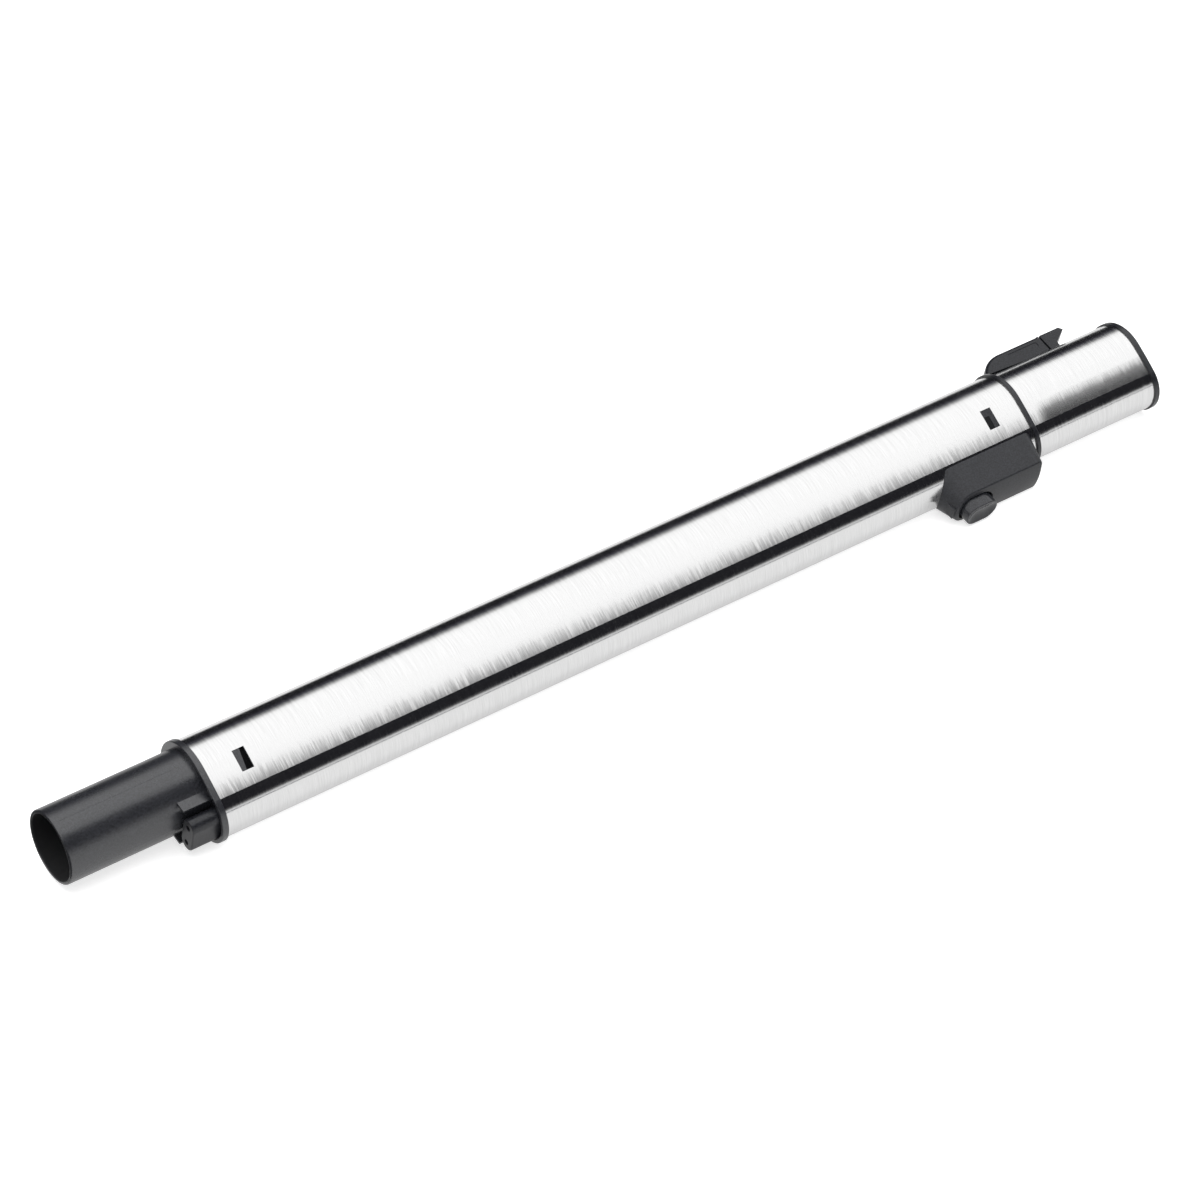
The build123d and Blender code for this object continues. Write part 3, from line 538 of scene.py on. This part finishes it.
def moulded_plastic(name, colour, grit, roughness, depth, gloss, dull_shaded_bore=0.0):
    """Injection moulded plastic: the eroded mould leaves a fine matt grain, and thick and thin walls cool to
    an uneven sheen.

    The real grain is about 0.05 mm, too fine to show, so grit draws it coarser. depth is how deep the grain
    is, gloss the specular level, and a bore of the radius given last, about the air path, is left unpolished
    and painted near black, a painted shade for the dark inside it.
    """
    material, tree, shader = new_material(name)
    shader.inputs["Specular IOR Level"].default_value = gloss
    place = add_node(tree, "ShaderNodeTexCoord").outputs["Object"]
    grain = add_node(
        tree, "ShaderNodeTexNoise", {"Vector": place, "Scale": 1 / grit, "Detail": 4.0, "Roughness": 0.65}
    ).outputs["Fac"]
    walls = add_node(
        tree,
        "ShaderNodeTexNoise",
        {"Vector": place, "Scale": 1 / (WALL_SPACING * MM), "Detail": 2.0, "Roughness": 0.5},
    )
    sheen = add_node(
        tree,
        "ShaderNodeMapRange",
        {
            "Value": walls.outputs["Fac"],
            "From Min": NOISE_LOW,
            "From Max": NOISE_HIGH,
            "To Min": roughness - SHEEN_UNEVEN,
            "To Max": roughness + SHEEN_UNEVEN,
        },
    ).outputs["Result"]
    speckle = add_node(
        tree,
        "ShaderNodeMapRange",
        {"Value": grain, "From Min": GRAIN_LOW, "From Max": GRAIN_HIGH},
        interpolation_type="SMOOTHSTEP",
    )
    shade = add_node(
        tree,
        "ShaderNodeMix",
        {
            "Factor": speckle.outputs["Result"],
            "A": [v * GRAIN_PIT for v in linear(colour)[:3]] + [1.0],
            "B": [v * GRAIN_PEAK for v in linear(colour)[:3]] + [1.0],
        },
        data_type="RGBA",
    ).outputs["Result"]
    # Painted shade: inside the bore the colour turns near black for the dark deep in it, and the roughness
    # rises as the mould leaves it unpolished
    if dull_shaded_bore:
        from_path = add_node(
            tree, "ShaderNodeVectorMath", {0: place, 1: (0.0, 1.0, 1.0)}, operation="MULTIPLY"
        )
        radius = add_node(
            tree, "ShaderNodeVectorMath", {0: from_path.outputs["Vector"]}, operation="LENGTH"
        )
        inside = add_node(
            tree,
            "ShaderNodeMapRange",
            {
                "Value": radius.outputs["Value"],
                "From Min": (dull_shaded_bore - DULL_AND_SHADED_RIM) * MM,
                "From Max": dull_shaded_bore * MM,
                "To Min": 1.0,
                "To Max": 0.0,
            },
            interpolation_type="SMOOTHSTEP",
        ).outputs["Result"]
        shade = add_node(
            tree, "ShaderNodeMix", {"Factor": inside, "A": shade, "B": BORE_SHADE_COLOUR}, data_type="RGBA"
        ).outputs["Result"]
        sheen = add_node(
            tree, "ShaderNodeMix", {"Factor": inside, "A": sheen, "B": DULL_ROUGHNESS}
        ).outputs["Result"]
    bump = add_node(
        tree, "ShaderNodeBump", {"Height": grain, "Strength": GRAIN_STRENGTH, "Distance": depth * MM}
    )
    tree.links.new(shade, shader.inputs["Base Color"])
    tree.links.new(sheen, shader.inputs["Roughness"])
    tree.links.new(bump.outputs["Normal"], shader.inputs["Normal"])
    return material


def small_metal(name, colour, roughness, pitch):
    """Turned, ground or drawn metal: its tool marks, pitch millimetres apart, leave it unevenly bright."""
    material, tree, shader = new_material(name)
    shader.inputs["Metallic"].default_value = 1.0
    shader.inputs["Base Color"].default_value = linear(colour)
    place = add_node(tree, "ShaderNodeTexCoord").outputs["Object"]
    marks = add_node(
        tree, "ShaderNodeTexNoise", {"Vector": place, "Scale": 1 / (pitch * MM), "Detail": 3.0}
    )
    uneven = add_node(
        tree,
        "ShaderNodeMapRange",
        {
            "Value": marks.outputs["Fac"],
            "From Min": NOISE_LOW,
            "From Max": NOISE_HIGH,
            "To Min": roughness - SMALL_METAL_UNEVEN,
            "To Max": roughness + SMALL_METAL_UNEVEN,
        },
    )
    tree.links.new(uneven.outputs["Result"], shader.inputs["Roughness"])
    return material


class WAND_OT_camera(bpy.types.Operator):
    """Camera at the viewing angle of the reference picture"""

    bl_idname = "wand.camera"
    bl_label = "Camera"

    def execute(self, context):
        stage = context.scene.wand_stage
        deselect()
        bpy.ops.object.camera_add(location=stage.camera_place, rotation=stage.camera_turn)
        camera = context.object
        camera.name = "camera"
        camera.data.lens = stage.camera_lens
        camera.data.sensor_width = 36.0
        camera.data.clip_end = 50.0
        context.scene.camera = camera
        return {"FINISHED"}


class WAND_OT_stage(bpy.types.Operator):
    """White floor, soft lamps and a world whose reflections are those of a soft box between dark cards"""

    bl_idname = "wand.stage"
    bl_label = "Stage"

    def execute(self, context):
        stage = context.scene.wand_stage
        context.scene.view_settings.view_transform = "Standard"
        self.floor(stage)
        self.lamps()
        self.world(context.scene, stage)
        return {"FINISHED"}

    def floor(self, stage):
        """Matt white paper, which spreads the light evenly and shows only the soft shadow of the wand.

        Reflections show it darker than the camera does, with a dark card before the mouth.
        """
        deselect()
        low, high = MODEL_BOX
        middle = (low + high) / 2
        # A hair below the wand, so that the two don't share a face
        bpy.ops.mesh.primitive_plane_add(size=16.0, location=(middle.x, middle.y, low.z - 0.02 * MM))
        floor = bpy.context.object
        floor.name = "floor"
        material, tree, shader = new_material("matt white paper")
        shader.inputs["Roughness"].default_value = 0.9
        shader.inputs["Specular IOR Level"].default_value = 0.0
        shader.inputs["Emission Color"].default_value = (1.0, 1.0, 1.0, 1.0)
        rays = add_node(tree, "ShaderNodeLightPath")
        place = add_node(tree, "ShaderNodeTexCoord").outputs["Object"]
        along = add_node(tree, "ShaderNodeSeparateXYZ", {"Vector": place}).outputs["X"]
        card = add_node(
            tree,
            "ShaderNodeMapRange",
            {
                "Value": along,
                "From Min": CARD_FULL * MM - middle.x,
                "From Max": CARD_END * MM - middle.x,
                "To Min": 1.0,
                "To Max": 0.0,
            },
            interpolation_type="SMOOTHSTEP",
        ).outputs["Result"]
        seen_glow = add_node(
            tree, "ShaderNodeMix", {"Factor": rays.outputs["Is Camera Ray"], "A": 0.0, "B": stage.paper_glow}
        )
        mirrored_glow = add_node(
            tree, "ShaderNodeMix", {"Factor": card, "A": stage.mirrored_glow, "B": 0.0}
        )
        glow = add_node(
            tree,
            "ShaderNodeMix",
            {
                "Factor": rays.outputs["Is Glossy Ray"],
                "A": seen_glow.outputs["Result"],
                "B": mirrored_glow.outputs["Result"],
            },
        )
        mirrored_paper = add_node(
            tree,
            "ShaderNodeMix",
            {"Factor": card, "A": [stage.mirrored_paper] * 3 + [1.0], "B": [stage.mouth_card] * 3 + [1.0]},
            data_type="RGBA",
        )
        paper = add_node(
            tree,
            "ShaderNodeMix",
            {
                "Factor": rays.outputs["Is Glossy Ray"],
                "A": [stage.paper] * 3 + [1.0],
                "B": mirrored_paper.outputs["Result"],
            },
            data_type="RGBA",
        )
        tree.links.new(paper.outputs["Result"], shader.inputs["Base Color"])
        tree.links.new(glow.outputs["Result"], shader.inputs["Emission Strength"])
        floor.data.materials.append(material)

    def lamps(self):
        """Two soft boxes that light the wand. Reflections show the world in their place."""
        middle = (MODEL_BOX[0] + MODEL_BOX[1]) / 2
        # Name, place from the middle of the wand in metres, edge in metres and power in watts
        for name, place, size, power in (
            ("top soft box", (0.0, -0.1, 1.6), 2.4, 36.0),
            ("front soft box", (-1.0, -2.0, 0.9), 1.6, 14.0),
        ):
            spot = middle + Vector(place)
            deselect()
            bpy.ops.object.light_add(type="AREA", location=spot)
            lamp = bpy.context.object
            lamp.name = name
            lamp.rotation_euler = (middle - spot).to_track_quat("-Z", "Y").to_euler()
            lamp.data.size = size
            lamp.data.energy = power
            lamp.visible_glossy = False

    def world(self, scene, stage):
        """Light tent. What it shows in a reflection depends on the angle about the wand."""
        world = bpy.data.worlds.new("light tent")
        world.use_nodes = True
        scene.world = world
        tree = world.node_tree
        background = tree.nodes["Background"]
        place = add_node(tree, "ShaderNodeTexCoord")
        split = add_node(tree, "ShaderNodeSeparateXYZ", {"Vector": place.outputs["Generated"]})
        angle = add_node(
            tree, "ShaderNodeMath", {0: split.outputs["Z"], 1: split.outputs["Y"]}, operation="ARCTAN2"
        )
        share = add_node(
            tree,
            "ShaderNodeMapRange",
            {"Value": angle.outputs["Value"], "From Min": 0.0, "From Max": math.pi},
        )
        bands = add_node(tree, "ShaderNodeValToRGB", {"Fac": share.outputs["Result"]})
        # Degrees about the wand, from the far horizon over the top to the near one, and radiance there
        top, dark = stage.top_light, stage.dark_card
        levels = (
            # Bright rim of the floor on the far side
            (0.0, 0.5),
            (2.0, 0.15),
            # Far dark card
            (5.0, dark),
            (27.0, dark),
            # Soft far edge of the soft box
            (37.0, 0.05 * top),
            (43.5, 0.22 * top),
            (50.0, 0.62 * top),
            (55.0, 0.94 * top),
            # Soft box with its sharp near edge
            (66.0, top),
            (123.7, top),
            (124.6, 0.35 * top),
            # Near dark card
            (125.4, dark),
            (163.0, dark),
            # Low strip of light on the near side
            (169.0, 0.1 * top),
            (172.5, 0.4 * top),
            (175.0, 0.72 * top),
            (177.0, 0.72 * top),
            # Near horizon
            (178.0, 0.08 * top),
            (180.0, 0.08 * top),
        )
        # The shade in the tent leans to blue
        shade_level = 0.1 * top
        shade_blue = 1.25
        ramp = bands.color_ramp
        while len(ramp.elements) < len(levels):
            ramp.elements.new(1.0)
        for element, (degrees, level) in zip(ramp.elements, levels):
            element.position = degrees / 180
            blue = level * shade_blue if level < shade_level else level
            element.color = (level, level, blue, 1.0)
        rays = add_node(tree, "ShaderNodeLightPath")
        tent = add_node(
            tree,
            "ShaderNodeMix",
            {
                "Factor": rays.outputs["Is Glossy Ray"],
                "A": [stage.tent_light] * 3 + [1.0],
                "B": bands.outputs["Color"],
            },
            data_type="RGBA",
        )
        white = add_node(
            tree,
            "ShaderNodeMath",
            {0: rays.outputs["Is Camera Ray"], 1: rays.outputs["Is Transmission Ray"]},
            operation="MAXIMUM",
        )
        seen = add_node(
            tree,
            "ShaderNodeMix",
            {"Factor": white.outputs["Value"], "A": tent.outputs["Result"], "B": (1.0, 1.0, 1.0, 1.0)},
            data_type="RGBA",
        )
        tree.links.new(seen.outputs["Result"], background.inputs["Color"])


class WAND_OT_tubes(bpy.types.Operator):
    """Brushed stainless steel of the two tubes"""

    bl_idname = "wand.tubes"
    bl_label = "Tubes"

    def execute(self, context):
        steel = context.scene.wand_colours.steel
        sizes = context.scene.wand_sizes
        paint(brushed_stainless("brushed stainless, outer tube", steel, sizes, 0.0), "outer_tube")
        inner = brushed_stainless(
            "brushed stainless, inner tube", steel, sizes, INNER_TUBE_OFFSET, pressed=True
        )
        paint(inner, "inner_tube")
        return {"FINISHED"}


class WAND_OT_mouldings(bpy.types.Operator):
    """Moulded plastics of the spigot, the rings, the plug, the housing, the button and the catch"""

    bl_idname = "wand.mouldings"
    bl_label = "Mouldings"

    def execute(self, context):
        colours = context.scene.wand_colours
        grit = context.scene.wand_sizes.moulded_grit
        # Name, colour, roughness, depth of the grain in millimetres, specular level, radius of the
        # unpolished bore with painted shade in it, in millimetres, and nodes
        for name, tint, roughness, depth, gloss, dull_shaded_bore, nodes in (
            # A waxy plastic from an eroded mould: a satin skin that still shows long clear highlights
            # Its bore is painted near black: painted shade for the dark inside the spigot
            ("polypropylene, spigot", colours.spigot, 0.28, 0.06, 1.0, 16.0, ["nozzle_spigot"]),
            # A dense, slippery plastic: a smooth and even skin with a quiet gleam
            ("acetal, rings", colours.rings, 0.3, 0.02, 0.55, 0.0, ["guide_sleeve", "tail_shoe"]),
            # Its bore for the handle is painted near black: painted shade for the dark inside it
            ("acetal, handle socket", colours.rings, 0.3, 0.02, 0.55, 18.5, ["handle_socket"]),
            # Filled with glass fibre, which dulls the skin to an even satin
            ("polyamide, plug", colours.plug, 0.34, 0.03, 0.5, 0.0, ["plug_housing", "inlet_block"]),
            # From a deeply eroded mould: a grain that spreads each highlight wide
            ("ABS, release housing", colours.housing, 0.4, 0.06, 0.5, 0.0, ["release_housing"]),
            # From a polished mould: a smooth cap whose dish gathers the light
            ("ABS, button", colours.button, 0.2, 0.01, 0.6, 0.0, ["release_button"]),
            # From a polished mould and rubbed by the hand: crisp but faint reflections
            ("ABS, catch", colours.catch, 0.26, 0.02, 0.36, 0.0, ["catch_lever", "catch_plate"]),
            # Dyed dark grey, from a plain mould: smooth, with a soft shine
            ("acetal, rocker", colours.rocker, 0.35, 0.01, 0.5, 0.0, ["lock_rocker"]),
            # Thin walls from a plain mould, left dull, as nobody sees them, and painted near black in the
            # bore as painted shade
            ("polypropylene, ducts", colours.duct, 0.5, 0.01, 0.5, 16.0, ["fixed_duct", "sliding_duct"]),
            # Moulded and cured: matt, with hardly a highlight
            ("nitrile rubber", colours.rubber, 0.7, 0.02, 0.5, 0.0, ["duct_seal"]),
            # Drawn through a die: smooth, with a broad soft sheen
            ("PVC jacket", colours.lead, 0.45, 0.02, 0.5, 0.0, ["coiled_lead"]),
        ):
            paint(moulded_plastic(name, tint, grit, roughness, depth, gloss, dull_shaded_bore), *nodes)
        return {"FINISHED"}


class WAND_OT_small_metal(bpy.types.Operator):
    """Brass contacts, steel pins and spring wire"""

    bl_idname = "wand.small_metal"
    bl_label = "Small metal"

    def execute(self, context):
        colours = context.scene.wand_colours
        # Name, colour, roughness, pitch of the tool marks in millimetres, and nodes
        for name, tint, roughness, pitch, nodes in (
            # Turned on an automatic lathe: bright, with a soft yellow gleam
            (
                "turned brass",
                colours.brass,
                0.28,
                0.2,
                ["plug_contact_1", "plug_contact_2", "inlet_pin_1", "inlet_pin_2"],
            ),
            # Ground between wheels: the brightest of the small metal
            ("ground steel pin", colours.pin, 0.25, 0.2, ["rocker_pin", "catch_pin"]),
            # Drawn through a die and oiled: a grey, softly shining wire
            ("spring wire", colours.wire, 0.35, 0.3, ["lock_spring", "catch_spring"]),
        ):
            paint(small_metal(name, tint, roughness, pitch), *nodes)
        return {"FINISHED"}


class WAND_OT_parting_lines(bpy.types.Operator):
    """Thin lines along both sides of the spigot, where the halves of its mould met"""

    bl_idname = "wand.parting_lines"
    bl_label = "Parting lines"

    def execute(self, context):
        sizes = context.scene.wand_sizes
        start = sizes.flash_start
        end = sizes.collar_front - sizes.flash_gap
        reach = sizes.spigot_radius + sizes.flash_height - sizes.flash_root / 2
        turn = Matrix((ALONG, TOWARD_NOSE, ACROSS)).transposed().to_euler()
        for name, side in (("parting_line_near", -1), ("parting_line_far", 1)):
            deselect()
            bpy.ops.mesh.primitive_cube_add(
                size=1.0,
                location=ALONG * (start + end) / 2 + ACROSS * side * reach,
                rotation=turn,
                scale=(end - start, sizes.flash_width, sizes.flash_root),
            )
            bpy.ops.object.transform_apply()
            line = context.object
            line.name = name
            bevel = line.modifiers.new("soft edges", "BEVEL")
            bevel.width = sizes.flash_edge
            bevel.segments = 2
            bpy.ops.object.modifier_apply(modifier=bevel.name)
            line.data.materials.append(bpy.data.materials["polypropylene, spigot"])
            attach(line, "barrel")
        return {"FINISHED"}


class WAND_OT_snap_pockets(bpy.types.Operator):
    """Painted shade in the pockets of the snap tongues, seen through the windows of the outer tube: near
    black plates on their floors
    """

    bl_idname = "wand.snap_pockets"
    bl_label = "Snap pocket shade"

    def execute(self, context):
        colours = context.scene.wand_colours
        grit = context.scene.wand_sizes.moulded_grit
        # Painted shade: the plates on the floors of the pockets are near black for the shade deep in them,
        # and dull
        front = moulded_plastic("polypropylene, painted pocket shade", colours.front_pocket_shade, grit, 0.8, 0.01, 0.1)
        rear = moulded_plastic("acetal, painted pocket shade", colours.rear_pocket_shade, grit, 0.6, 0.01, 0.25)
        for side, end in ((-1, "near"), (1, "far")):
            self.pocket(f"front_pocket_shade_{end}", side, FRONT_POCKET, front, "nozzle_plastic")
            self.pocket(f"rear_pocket_shade_{end}", side, REAR_POCKET, rear, "ring_plastic")
        return {"FINISHED"}

    def pocket(self, name, side, sizes, material, slot):
        """Painted shade on the floor of a pocket: a thin near black plate on the outline of the sunk part of
        a tongue.
        """
        out = TOWARD_NOSE * math.cos(FLANK_ANGLE) + ACROSS * (side * math.sin(FLANK_ANGLE))
        down = TOWARD_NOSE * math.sin(FLANK_ANGLE) - ACROSS * (side * math.cos(FLANK_ANGLE))
        start, end = (sizes["middle"] + share * TONGUE_HALF_LENGTH for share in sizes["along"])
        top, bottom = (WINDOW_DOWN + share * TONGUE_HALF_WIDTH for share in sizes["down"])
        level = out * (FLANK_REACH - sizes["depth"])
        deselect()
        bpy.ops.mesh.primitive_plane_add(
            size=1.0,
            location=(level + ALONG * (start + end) / 2 + down * (top + bottom) / 2) * MM,
            rotation=Matrix((ALONG, down, out * side)).transposed().to_euler(),
        )
        plate = bpy.context.object
        plate.name = name
        plate.scale = ((end - start) * MM, (bottom - top) * MM, 1.0)
        bpy.ops.object.transform_apply()
        if sizes["slant"]:
            corner = (level + ALONG * start + down * bottom) * MM
            nearest = min(plate.data.vertices, key=lambda vertex: (vertex.co - corner).length)
            for part in (*plate.data.vertices, *plate.data.edges, *plate.data.polygons):
                part.select = part == nearest
            bpy.ops.object.mode_set(mode="EDIT")
            bpy.ops.mesh.select_mode(type="VERT")
            bpy.ops.transform.translate(value=ALONG * (sizes["slant"] * TONGUE_HALF_LENGTH * MM))
            bpy.ops.object.mode_set(mode="OBJECT")
        solidify = plate.modifiers.new("thickness", "SOLIDIFY")
        solidify.thickness = POCKET_PLATE * MM
        solidify.offset = -1.0
        bpy.ops.object.modifier_apply(modifier=solidify.name)
        bpy.ops.object.mode_set(mode="EDIT")
        bpy.ops.mesh.select_all(action="SELECT")
        bpy.ops.mesh.normals_make_consistent(inside=False)
        bpy.ops.object.mode_set(mode="OBJECT")
        plate.data.materials.append(material)
        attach(plate, "barrel")


class WAND_PT_panel(bpy.types.Panel):
    """Lists the steps that dress the wand"""

    bl_idname = "WAND_PT_panel"
    bl_label = "Telescopic wand"
    bl_space_type = "VIEW_3D"
    bl_region_type = "UI"
    bl_category = "Wand"

    def draw(self, context):
        for step in STEPS:
            self.layout.operator(step.bl_idname)
        for group in (context.scene.wand_sizes, context.scene.wand_colours, context.scene.wand_stage):
            box = self.layout.box()
            for name in group.__annotations__:
                box.prop(group, name)


GROUPS = {"wand_colours": WandColours, "wand_sizes": WandSizes, "wand_stage": WandStage}
STEPS = (
    WAND_OT_camera,
    WAND_OT_stage,
    WAND_OT_tubes,
    WAND_OT_mouldings,
    WAND_OT_small_metal,
    WAND_OT_parting_lines,
    WAND_OT_snap_pockets,
)


def register():
    for kind in (*GROUPS.values(), *STEPS, WAND_PT_panel):
        bpy.utils.register_class(kind)
    for name, kind in GROUPS.items():
        setattr(bpy.types.Scene, name, bpy.props.PointerProperty(type=kind))


def unregister():
    for name in GROUPS:
        delattr(bpy.types.Scene, name)
    for kind in reversed((*GROUPS.values(), *STEPS, WAND_PT_panel)):
        bpy.utils.unregister_class(kind)


def main():
    """Dresses the wand."""
    register()
    for step in STEPS:
        group, name = step.bl_idname.split(".")
        getattr(getattr(bpy.ops, group), name)()


if __name__ == "__main__":
    main()
